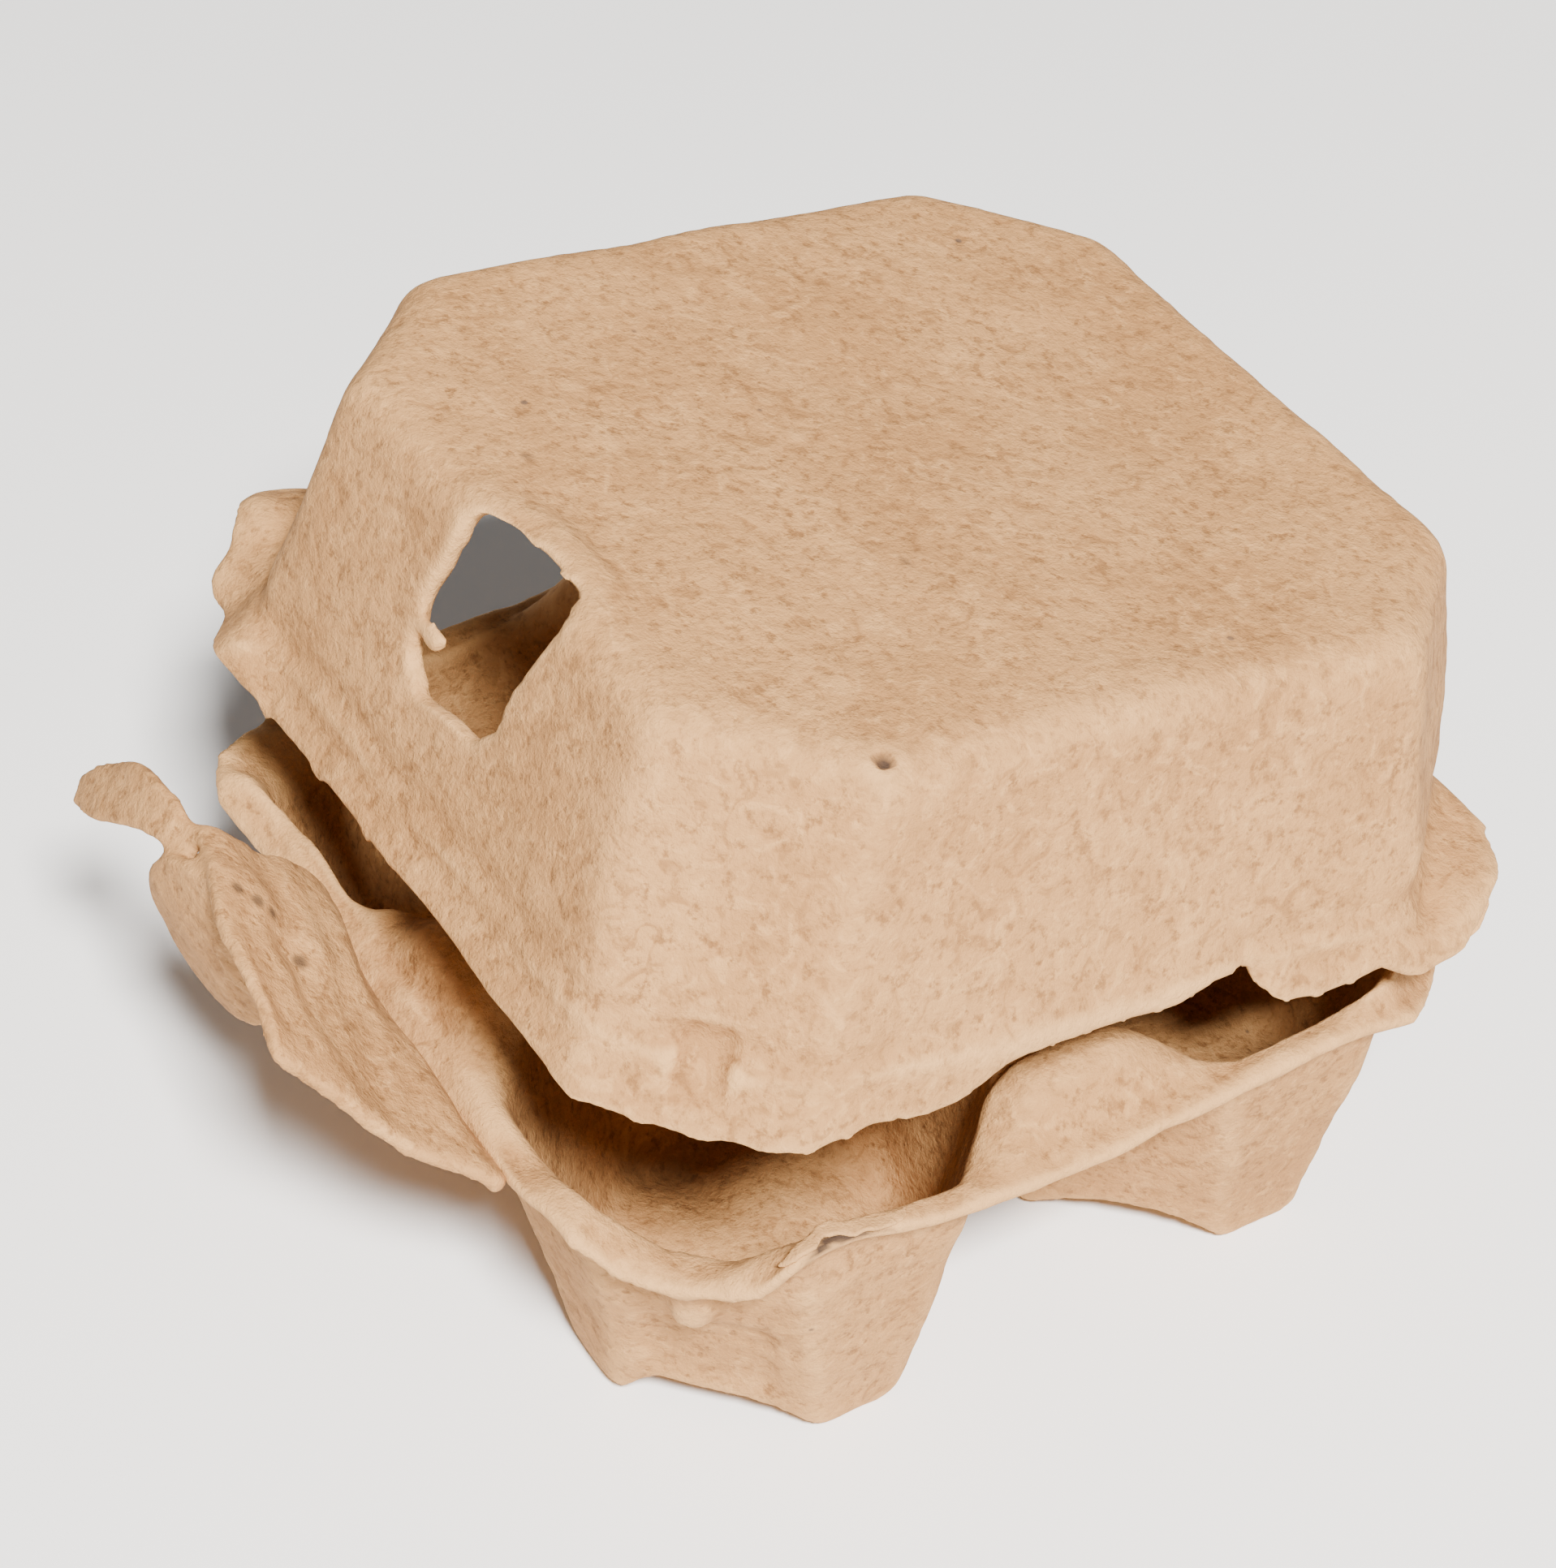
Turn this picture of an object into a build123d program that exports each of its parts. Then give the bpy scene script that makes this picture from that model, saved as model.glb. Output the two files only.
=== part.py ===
from build123d import *
import os
from math import atan2, cos, degrees, radians, sin, sqrt

# Moulded-pulp egg box for four eggs: a cup tray, a hinged lid and a locking flap.
# The origin is under the middle of the four cells, on the plane the feet stand on.
# The latch side faces -Y and the hinge runs along X at the back. Millimetres.

# Pulp sheet
wall = 2.0

# Cups: octagons with narrow straight sides at the feet and even sides at the rim
cell_spacing = 50.0
foot_reach = 19.6
foot_width = 9.3
foot_arch = 4.0
rim_reach = 25.8
rim_face = 20.0
rim_height = 33.5

# Lip round the rim, which dips at the two front corners
lip_overhang = 2.2
lip_corner = 16.0
lip_thick = 2.0
corner_dip = 4.0

# Humps between neighbouring cups at the rim, the post in the middle and the saddles between cups
hump_height = 9.0
hump_foot = 29.0
hump_top = 11.0
hump_depth = 11.0
hump_top_depth = 5.0
hump_lean = 4.5
post_foot = 11.0
post_top = 6.0
post_height = 13.0
saddle_width = 22.0
saddle_drop = 6.5

# Hinge along the back: a bead on the lid's flange turns on the tray's flange
hinge_y = 52.0
hinge_rise = 8.3
hinge_bead = 1.0
hinge_gap = 0.35
hinge_half_span = 51.0
hinge_corner = 9.0
flange_front = 40.0
bank_front = 28.0

# Lid, drawn shut and level from the hinge plane up, then opened by the ajar angle
lid_ajar = 10.15
lid_half = 51.4
lid_corner = 16.6
lid_top_half = 45.6
lid_top_corner = 15.6
lid_height = 31.8
lid_round = 4.5
skirt_half = 54.2
skirt_corner = 15.5
skirt_drop = 4.4
skirt_back_end = 38.0
arch_start = 31.0
arch_knee = 17.8
arch_knee_drop = 0.9
arch_front = 12.9
arch_back = 11.7
arch_end = 17.0
arch_rise = 2.0

# Latch hole through the lid's front wall
latch_x = 3.4
latch_width = 16.0
latch_bottom = 13.4
latch_top = 30.6
latch_cut = 3.0

# Locking flap: a tongue on the front lip, its button end creased over and hanging
flap_y = 54.4
flap_gap = 0.35
flap_wall = 1.8
flap_rise = 50.0
flap_x = -0.5
flap_root = 50.0
flap_left = 17.0
flap_left_length = 22.5
flap_right = 14.5
flap_right_length = 26.5
button_x = -12.8
button_radius = 10.9
button_drop = 8.5
button_lean = 14.0
button_skew = 10.0
wing_length = 31.0
wing_width = 7.6
wing_droop = 23.0
wing_roll = 47.0

# Sizes that follow from those above
cell_half = cell_spacing / 2
rim_half = cell_half + rim_reach
foot_corner = foot_reach - foot_width / 2
rim_corner = rim_reach - rim_face / 2
lip_half = rim_half + lip_overhang
deck_under = rim_height - lip_thick
rim_top = rim_height + hump_height + post_height
hinge_z = rim_height + hinge_rise
flange_top = hinge_z - hinge_bead - hinge_gap
flap_z = rim_height - lip_thick / 2
beyond = 2 * skirt_half
skin_corner = 2 - sqrt(2)


def arc_radius(chord, rise):
    """Radius of the arc that rises this much over a chord."""
    return (chord**2 / 4 + rise**2) / (2 * rise)


def cut_square(plane, half_size, corner):
    """Square with its four corners cut off."""
    with BuildSketch(plane) as outline:
        Rectangle(2 * half_size, 2 * half_size)
        chamfer(outline.vertices(), corner)
    return outline.sketch.face()


def corner_reach(half_size, corner):
    """Distance from the middle of a cut square to its corner faces."""
    return (2 * half_size - corner) / sqrt(2)


def wedge(plane, turn, start, end, height):
    """Turned square that drafts along the plane's normal, from one half size to another."""
    with BuildPart() as tapered:
        with BuildSketch(plane):
            Rectangle(2 * start, 2 * start, rotation=turn)
        extrude(amount=height, taper=degrees(atan2(start - end, height)))
    return tapered.part


def drafted(plane, wide, narrow, height):
    """Cut square that drafts along the plane's normal, from wide to narrow (half size, corner reach)."""
    with BuildPart() as block:
        add(wedge(plane, 0, wide[0], narrow[0], height))
        add(wedge(plane, 45, wide[1], narrow[1], height), mode=Mode.INTERSECT)
    return block.part


def cup_block(bottom, skin):
    """Cup from the rim down to a height, moved inward by the skin."""
    share = bottom / rim_height
    foot = (foot_reach, corner_reach(foot_reach, foot_corner))
    rim = (rim_reach, corner_reach(rim_reach, rim_corner))
    narrow = [low + (high - low) * share - skin for low, high in zip(foot, rim)]
    hanging = drafted(Plane.XY, [size - skin for size in rim], narrow, rim_height - bottom)
    return hanging.mirror(Plane.XY).translate((0, 0, rim_height))


def cup_mouth(skin):
    """Octagon of a cup at the rim, moved inward by the skin."""
    return cut_square(Plane.XY.offset(rim_height), rim_reach - skin, rim_corner - skin * skin_corner)


def barrel(angle, radius, axis_height, start, end):
    """Lying cylinder that points away from the Z axis at an angle."""
    with BuildPart() as lying:
        with BuildSketch(Plane.YZ.offset(start)):
            with Locations((0, axis_height)):
                Circle(radius)
        extrude(amount=end - start)
    return lying.part.rotate(Axis.Z, angle)


# One cup about its own axis: the outer form, its open inside and the room it takes up
arch_radius = arc_radius(sqrt(2) * foot_corner, foot_arch)

with BuildPart() as cup_form:
    add(cup_block(0, 0))
    for diagonal in (45, 135):
        arch = barrel(diagonal, arch_radius, foot_arch - arch_radius, -beyond, beyond)
        add(arch, mode=Mode.SUBTRACT)

with BuildPart() as cup_inside:
    add(cup_block(wall, wall))
    extrude(cup_mouth(wall), amount=rim_top)
    for diagonal in (45, 135):
        arch = barrel(diagonal, arch_radius + wall, foot_arch - arch_radius, -beyond, beyond)
        add(arch, mode=Mode.SUBTRACT)

with BuildPart() as cup_room:
    add(cup_block(0, 0))
    extrude(cup_mouth(0), amount=rim_top)


def hump_form(skin):
    """Hump at the +X side that leans in as it rises, moved inward by the skin."""
    foot = deck_under - skin
    top = rim_height + hump_height - skin
    outer = rim_half - skin
    inner = rim_half - hump_depth + skin
    outer_top = outer - hump_lean
    inner_top = rim_half - hump_lean - hump_top_depth + skin
    half_foot = hump_foot / 2 - skin
    half_top = hump_top / 2 - skin
    with BuildPart() as hump:
        with BuildSketch(Plane.YZ):
            Polygon((-half_foot, foot), (half_foot, foot), (half_top, top), (-half_top, top), align=None)
        extrude(amount=rim_half)
        with BuildSketch(Plane.XZ.offset(-half_foot)):
            Polygon((inner, foot), (outer, foot), (outer_top, top), (inner_top, top), align=None)
        extrude(amount=2 * half_foot, mode=Mode.INTERSECT)
    return hump.part


def post_form(skin):
    """Four-sided post in the middle of the tray, moved inward by the skin."""
    rise = rim_height + post_height - deck_under
    with BuildPart() as post:
        with BuildSketch(Plane.XY.offset(deck_under - skin)):
            Rectangle(2 * (post_foot - skin), 2 * (post_foot - skin), rotation=45)
        extrude(amount=rise, taper=degrees(atan2(post_foot - post_top, rise)))
    return post.part


# Open undersides of the humps and the post, kept clear of the cups
with BuildPart() as undersides:
    add(post_form(wall))
    for side in (0, 90, 180, 270):
        add(hump_form(wall).rotate(Axis.Z, side))
    with GridLocations(cell_spacing, cell_spacing, 2, 2):
        add(cup_room.part, mode=Mode.SUBTRACT)

# Rim lip, tall enough for the dips
lip_under = deck_under - corner_dip
with BuildPart() as lip_ring:
    extrude(cut_square(Plane.XY.offset(lip_under), lip_half, lip_corner), amount=rim_height - lip_under)
    rim_inside = cut_square(Plane.XY.offset(lip_under), rim_half - wall, rim_corner - wall * skin_corner)
    extrude(rim_inside, amount=hinge_z, mode=Mode.SUBTRACT)

dip_radius = arc_radius(sqrt(2) * rim_corner, corner_dip)
dip_axis = rim_height - corner_dip + dip_radius
front_cells = [(cell_half, -cell_half, -45), (-cell_half, -cell_half, -135)]


def corner_barrel(cell, radius):
    """Barrel along one front corner's diagonal, from its cup's middle out past the lip."""
    x, y, angle = cell
    return barrel(angle, radius, dip_axis, 0, beyond).translate((x, y, 0))


with BuildPart() as lip:
    for cell in front_cells:
        add(corner_barrel(cell, dip_radius + lip_thick))
    with BuildSketch(Plane.XY.offset(deck_under)):
        Rectangle(beyond, beyond)
    extrude(amount=lip_thick)
    add(lip_ring.part, mode=Mode.INTERSECT)

# Raised bank along the back that carries the hinge flange
with BuildPart() as bank:
    extrude(cut_square(Plane.XY.offset(deck_under), rim_half, rim_corner), amount=flange_top - deck_under)
    extrude(rim_inside, amount=hinge_z, mode=Mode.SUBTRACT)
    with BuildSketch(Plane.YZ.offset(-beyond)):
        with BuildLine():
            Polyline(
                (bank_front, deck_under),
                (bank_front, rim_height),
                (flange_front, flange_top),
                (beyond, flange_top),
                (beyond, deck_under),
                close=True,
            )
        make_face()
    extrude(amount=2 * beyond, mode=Mode.INTERSECT)


def hinge_flange(plane, thickness):
    """Flange along the back, square across its front and rounded at its outer corners."""
    with BuildPart() as flange:
        with BuildSketch(plane):
            with Locations((0, (flange_front + hinge_y) / 2)):
                leaf = Rectangle(2 * hinge_half_span, hinge_y - flange_front)
            fillet(leaf.vertices().group_by(Axis.Y)[-1], hinge_corner)
        extrude(amount=thickness)
    return flange.part


saddle_radius = arc_radius(saddle_width, saddle_drop)
saddle_axis = rim_height - saddle_drop + saddle_radius

# Tray
with BuildPart() as tray:
    with GridLocations(cell_spacing, cell_spacing, 2, 2):
        add(cup_form.part)
    extrude(cut_square(Plane.XY.offset(deck_under), rim_half, rim_corner), amount=lip_thick)
    add(post_form(0))
    for side in (0, 90, 180, 270):
        add(hump_form(0).rotate(Axis.Z, side))
    # Webs that close the two walls of neighbouring cups under each saddle
    with BuildSketch(Plane.XY.offset(deck_under - saddle_drop)):
        with PolarLocations(cell_half, 4):
            Rectangle(saddle_width, 2 * wall)
    extrude(amount=saddle_drop)
    add(undersides.part, mode=Mode.SUBTRACT)
    add(lip.part)
    add(bank.part)
    add(hinge_flange(Plane.XY.offset(flange_top - lip_thick), lip_thick))
    # Front lip reaches out to the flap's fold
    with BuildSketch(Plane.XY.offset(deck_under)):
        with Locations((flap_x, -(rim_half + flap_y - flap_wall / 2 - flap_gap) / 2)):
            Rectangle(flap_root, flap_y - flap_wall / 2 - flap_gap - rim_half)
    extrude(amount=lip_thick)
    # Cells, saddles between them and the dips at the front corners
    with GridLocations(cell_spacing, cell_spacing, 2, 2):
        add(cup_inside.part, mode=Mode.SUBTRACT)
    for side in (0, 90, 180, 270):
        notch = barrel(0, saddle_radius, saddle_axis, -saddle_width / 2, saddle_width / 2)
        notch = notch.rotate(Axis.Z, 90).translate((cell_half, 0, 0)).rotate(Axis.Z, side)
        add(notch, mode=Mode.SUBTRACT)
    for cell in front_cells:
        add(corner_barrel(cell, dip_radius), mode=Mode.SUBTRACT)

# Lid, in the frame that opens with it
ajar = radians(lid_ajar)
lid_plane = Plane(
    origin=(0, hinge_y - hinge_y * cos(ajar), hinge_z + hinge_y * sin(ajar)),
    x_dir=(1, 0, 0),
    z_dir=(0, sin(ajar), cos(ajar)),
)
lid_front = Plane(origin=lid_plane.origin, x_dir=lid_plane.x_dir, z_dir=-lid_plane.y_dir)
lid_side = Plane(origin=lid_plane.origin, x_dir=lid_plane.y_dir, z_dir=lid_plane.x_dir)


def lid_block(skin):
    """The lid's drafted cover over its flared skirt, moved inward by the skin."""
    skirt = (skirt_half - skin, corner_reach(skirt_half, skirt_corner) - skin)
    ridge = (lid_half - skin, corner_reach(lid_half, lid_corner) - skin)
    top = (lid_top_half - skin, corner_reach(lid_top_half, lid_top_corner) - skin)
    cover = drafted(lid_plane, ridge, top, lid_height - skin)
    return cover, drafted(lid_plane.offset(-skirt_drop), skirt, ridge, skirt_drop)


def lid_flat(height, half_width, front, back):
    """Block of the lid's frame from its front to its back line, below a height."""
    with BuildPart() as flat:
        with BuildSketch(lid_plane.offset(height)):
            with Locations((0, (front + back) / 2)):
                Rectangle(2 * half_width, back - front)
        extrude(amount=-lid_height)
    return flat.part


# Lid
with BuildPart() as lid:
    cover, skirt = lid_block(0)
    add(cover)
    lid_axis = Axis(lid_plane.origin, lid_plane.z_dir)
    ridge_edges = lid.faces().sort_by(lid_axis)[0].edges()
    fillet([edge for edge in lid.edges() if edge not in ridge_edges], lid_round)
    add(skirt)
    # The skirt stops short of the hinge, where the flange and its bead take over
    add(lid_flat(-hinge_bead, beyond, skirt_back_end, beyond), mode=Mode.SUBTRACT)
    add(hinge_flange(lid_plane.offset(-hinge_bead), 2 * hinge_bead))
    bead_plane = Plane(origin=(hinge_corner - hinge_half_span, hinge_y, hinge_z), z_dir=(1, 0, 0))
    with BuildSketch(bead_plane):
        Circle(hinge_bead)
    extrude(amount=2 * (hinge_half_span - hinge_corner))
    for hollow in lid_block(wall):
        add(hollow, mode=Mode.SUBTRACT)
    # Arches over the side humps
    with BuildSketch(lid_side.offset(-beyond)):
        with BuildLine():
            Polyline(
                (-arch_start, -skirt_drop),
                (-arch_knee, -arch_knee_drop),
                (-arch_front, arch_rise),
                (arch_back, arch_rise),
                (arch_end, -skirt_drop),
                close=True,
            )
        make_face()
    extrude(amount=2 * beyond, mode=Mode.SUBTRACT)
    # Latch hole
    with BuildSketch(lid_front.offset(lid_top_half - wall * 2)):
        with Locations((latch_x, (latch_top + latch_bottom) / 2)):
            hole = Rectangle(latch_width, latch_top - latch_bottom)
        chamfer(hole.vertices().group_by(Axis.Y)[0], latch_cut)
    extrude(amount=beyond, mode=Mode.SUBTRACT)

# Locking flap, folded along X at the front lip
rise = radians(flap_rise)
flap_plane = Plane(origin=(0, -flap_y, flap_z), x_dir=(1, 0, 0), z_dir=(0, -sin(rise), -cos(rise)))
tip_left = flap_plane.from_local_coords((-flap_left, flap_left_length, 0))
tip_right = flap_plane.from_local_coords((flap_right, flap_right_length, 0))
button_share = (button_x + flap_left) / (flap_right + flap_left)
button_top = tip_left + (tip_right - tip_left) * button_share
hanging_plane = Plane(origin=button_top, x_dir=(1, 0, 0), z_dir=(0, -1, 0))
button_plane = hanging_plane.rotated((button_lean, 0, button_skew))
wing_way = Vector(-cos(radians(wing_droop)), 0, -sin(radians(wing_droop)))
wing_across = Vector(0, cos(radians(wing_roll)), sin(radians(wing_roll)))
wing_plane = Plane(origin=tip_left, x_dir=wing_way, z_dir=wing_way.cross(wing_across))


def bead(start, end):
    """Round edge of the flap's thickness between two points."""
    with BuildPart() as edge:
        with BuildSketch(Plane(origin=start, z_dir=end - start)):
            Circle(flap_wall / 2)
        extrude(amount=(end - start).length)
    return edge.part


with BuildPart() as locking_flap:
    with BuildSketch(flap_plane.offset(-flap_wall / 2)):
        with BuildLine():
            Polyline(
                (flap_x - flap_root / 2, 0),
                (flap_x + flap_root / 2, 0),
                (flap_right, flap_right_length),
                (-flap_left, flap_left_length),
                close=True,
            )
        make_face()
    extrude(amount=flap_wall)
    root_left = flap_plane.from_local_coords((flap_x - flap_root / 2, 0, 0))
    root_right = flap_plane.from_local_coords((flap_x + flap_root / 2, 0, 0))
    add(bead(root_left, root_right))
    add(bead(tip_left, tip_right))
    with BuildSketch(button_plane.offset(-flap_wall / 2)):
        with Locations((0, -button_drop)):
            Circle(button_radius)
    extrude(amount=flap_wall)
    with BuildSketch(wing_plane.offset(-flap_wall / 2)):
        with Locations((wing_length / 2 - wing_width, 0)):
            SlotOverall(wing_length, wing_width)
    extrude(amount=flap_wall)

os.makedirs("parts", exist_ok=True)
for piece, name in ((tray, "tray"), (lid, "lid"), (locking_flap, "locking_flap")):
    piece.part.label = name
    export_step(piece.part, f"parts/{name}.step")
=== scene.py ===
from math import cos, pi, radians, sin

import bmesh
import bpy
import numpy as np
from mathutils import Matrix, Vector


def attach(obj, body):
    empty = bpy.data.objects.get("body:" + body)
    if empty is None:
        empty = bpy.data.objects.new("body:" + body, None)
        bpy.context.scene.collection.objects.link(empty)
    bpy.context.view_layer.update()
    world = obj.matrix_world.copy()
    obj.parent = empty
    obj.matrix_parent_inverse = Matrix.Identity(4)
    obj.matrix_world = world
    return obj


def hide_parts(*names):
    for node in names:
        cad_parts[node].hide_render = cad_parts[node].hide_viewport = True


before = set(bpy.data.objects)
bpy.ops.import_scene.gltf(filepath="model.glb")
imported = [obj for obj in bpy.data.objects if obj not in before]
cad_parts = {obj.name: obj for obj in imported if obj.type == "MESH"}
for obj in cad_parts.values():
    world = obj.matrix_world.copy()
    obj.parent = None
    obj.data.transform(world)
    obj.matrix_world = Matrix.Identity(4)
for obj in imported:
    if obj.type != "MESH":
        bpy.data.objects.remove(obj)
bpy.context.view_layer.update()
scene = bpy.context.scene

# Points are shaped in millimetres and written in metres
MM = 0.001
DIAGONAL = 2**0.5
GRID = 48
FIELDS = {}

# Widths of the cells that the skins are made of
TRAY_CELL = 0.88
LAYER_CELL = 0.22
LID_CELL = 0.75
FLAP_CELL = 0.45

# Fold lines of the lid and the flap
HINGE = np.array([0.0, 52.0, 41.8])
FOLD = np.array([0.0, -54.4, 32.5])

# The lid's own frame: its fold line is the hinge, and it stands ajar
LID_AJAR = radians(10.15)
LID_ORIGIN = HINGE + np.array([0.0, -HINGE[1] * cos(LID_AJAR), HINGE[1] * sin(LID_AJAR)])
LID_AXES = np.array(
    [
        [1.0, 0.0, 0.0],
        [0.0, cos(LID_AJAR), -sin(LID_AJAR)],
        [0.0, sin(LID_AJAR), cos(LID_AJAR)],
    ]
)

# Colours of the pulp, from its ground to its fibres and specks, with a painted highlight for ridges, painted
# shade for furrows and a dark tone for marks
GROUND_DARK = (0.392, 0.194, 0.070)
GROUND_PALE = (0.470, 0.245, 0.093)
SQUIGGLE_DARK = (0.289, 0.136, 0.046)
SQUIGGLE_PALE = (0.563, 0.307, 0.121)
FIBRE = (0.580, 0.317, 0.127)
GRAIN = (0.235, 0.108, 0.036)
HAIR = (0.611, 0.348, 0.140)
# Painted highlight on ridges and painted shade in furrows
RIDGE_HIGHLIGHT = (0.642, 0.365, 0.148)
FURROW_SHADE = (0.258, 0.123, 0.042)
SPECK = (0.10, 0.065, 0.045)
# Dark marks; on the tray this colour is painted shade in the slit under the split layer
MARK = (0.055, 0.032, 0.02)


def to_lid(points):
    return (points - LID_ORIGIN) @ LID_AXES.T


def from_lid(points):
    return LID_ORIGIN + points @ LID_AXES


def ease(part):
    return part * part * (3 - 2 * part)


def ramp(value, start, end):
    """Smooth step from 0 at start to 1 at end."""
    return ease(np.clip((value - start) / (end - start), 0, 1))


def fall(value, start, end):
    """Smooth step from 1 at start to 0 at end."""
    return 1 - ramp(value, start, end)


def bell(value, centre, width):
    """Smooth rise to 1 at the centre."""
    return np.exp(-(((value - centre) / width) ** 2))


def mound(x, y, centre, area):
    """Smooth rise to 1 over a point of the plan."""
    return np.exp(-((x - centre[0]) ** 2 + (y - centre[1]) ** 2) / area)


def spot(points, centre, radius):
    """1 at a point, falling to 0 at the radius."""
    away = np.linalg.norm(points - np.asarray(centre, float), axis=1)
    return fall(away, radius * 0.4, radius)


def wobble(points, size, seed):
    """Smooth seeded noise from -1 to 1 with bumps about this many millimetres wide."""
    if seed not in FIELDS:
        FIELDS[seed] = np.random.RandomState(seed).rand(GRID, GRID, GRID) * 2 - 1
    field = FIELDS[seed]
    place = points / size + 500.0
    cell = np.floor(place).astype(int)
    part = ease(place - cell)
    total = np.zeros(len(points))
    for dx in (0, 1):
        for dy in (0, 1):
            for dz in (0, 1):
                weight = np.abs(1 - dx - part[:, 0])
                weight = weight * np.abs(1 - dy - part[:, 1])
                weight = weight * np.abs(1 - dz - part[:, 2])
                index = (cell + (dx, dy, dz)) % GRID
                total += weight * field[index[:, 0], index[:, 1], index[:, 2]]
    return total


def node_mesh(name):
    """CAD node's faces as one welded mesh."""
    mesh = bmesh.new()
    mesh.from_mesh(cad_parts[name].data)
    bmesh.ops.remove_doubles(mesh, verts=mesh.verts, dist=0.001 * MM)
    return mesh


def blob(mesh, centre, radii):
    """Closed egg-shaped lump in millimetres, for the remesh to melt into the skin."""
    place = Matrix.Translation(Vector(centre) * MM)
    size = Matrix.Diagonal((radii[0] * MM, radii[1] * MM, radii[2] * MM, 1.0))
    bmesh.ops.create_icosphere(mesh, subdivisions=3, radius=1.0, matrix=place @ size)


def rod(mesh, start, end, radius):
    """Closed round rod between two points in millimetres."""
    a = Vector(start) * MM
    b = Vector(end) * MM
    turn = (b - a).to_track_quat("Z", "Y").to_matrix().to_4x4()
    bmesh.ops.create_cone(
        mesh,
        cap_ends=True,
        segments=24,
        radius1=radius * MM,
        radius2=radius * MM,
        depth=(b - a).length,
        matrix=Matrix.Translation((a + b) / 2) @ turn,
    )


def slab(mesh, net, thickness):
    """Closed sheet of this thickness along a grid of points in millimetres."""
    normal = np.cross(np.gradient(net, axis=1), np.gradient(net, axis=0))
    normal /= np.linalg.norm(normal, axis=2, keepdims=True)
    rows, columns = net.shape[:2]
    skins = []
    for side in (0.5, -0.5):
        points = (net + normal * thickness * side) * MM
        skins.append([[mesh.verts.new(points[r, c]) for c in range(columns)] for r in range(rows)])
    upper, lower = skins
    for r in range(rows - 1):
        for c in range(columns - 1):
            mesh.faces.new((upper[r][c], upper[r][c + 1], upper[r + 1][c + 1], upper[r + 1][c]))
            mesh.faces.new((lower[r][c], lower[r + 1][c], lower[r + 1][c + 1], lower[r][c + 1]))
    rim = [(0, c) for c in range(columns)]
    rim += [(r, columns - 1) for r in range(1, rows)]
    rim += [(rows - 1, c) for c in range(columns - 2, -1, -1)]
    rim += [(r, 0) for r in range(rows - 2, 0, -1)]
    for (ra, ca), (rb, cb) in zip(rim, rim[1:] + rim[:1]):
        mesh.faces.new((upper[ra][ca], lower[ra][ca], lower[rb][cb], upper[rb][cb]))


def spread(points, count):
    """Smooth curve through points of any shape along the first axis."""
    points = np.asarray(points, float)
    before = 2 * points[:1] - points[1:2]
    after = 2 * points[-1:] - points[-2:-1]
    ends = np.concatenate([before, points, after])
    place = np.linspace(0, len(points) - 1, count)
    cell = np.minimum(place.astype(int), len(points) - 2)
    t = (place - cell).reshape((-1,) + (1,) * (points.ndim - 1))
    a, b, c, d = ends[cell], ends[cell + 1], ends[cell + 2], ends[cell + 3]
    square = (2 * a - 5 * b + 4 * c - d) * t**2
    cube = (3 * b - a - 3 * c + d) * t**3
    return 0.5 * (2 * b + (c - a) * t + square + cube)


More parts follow.
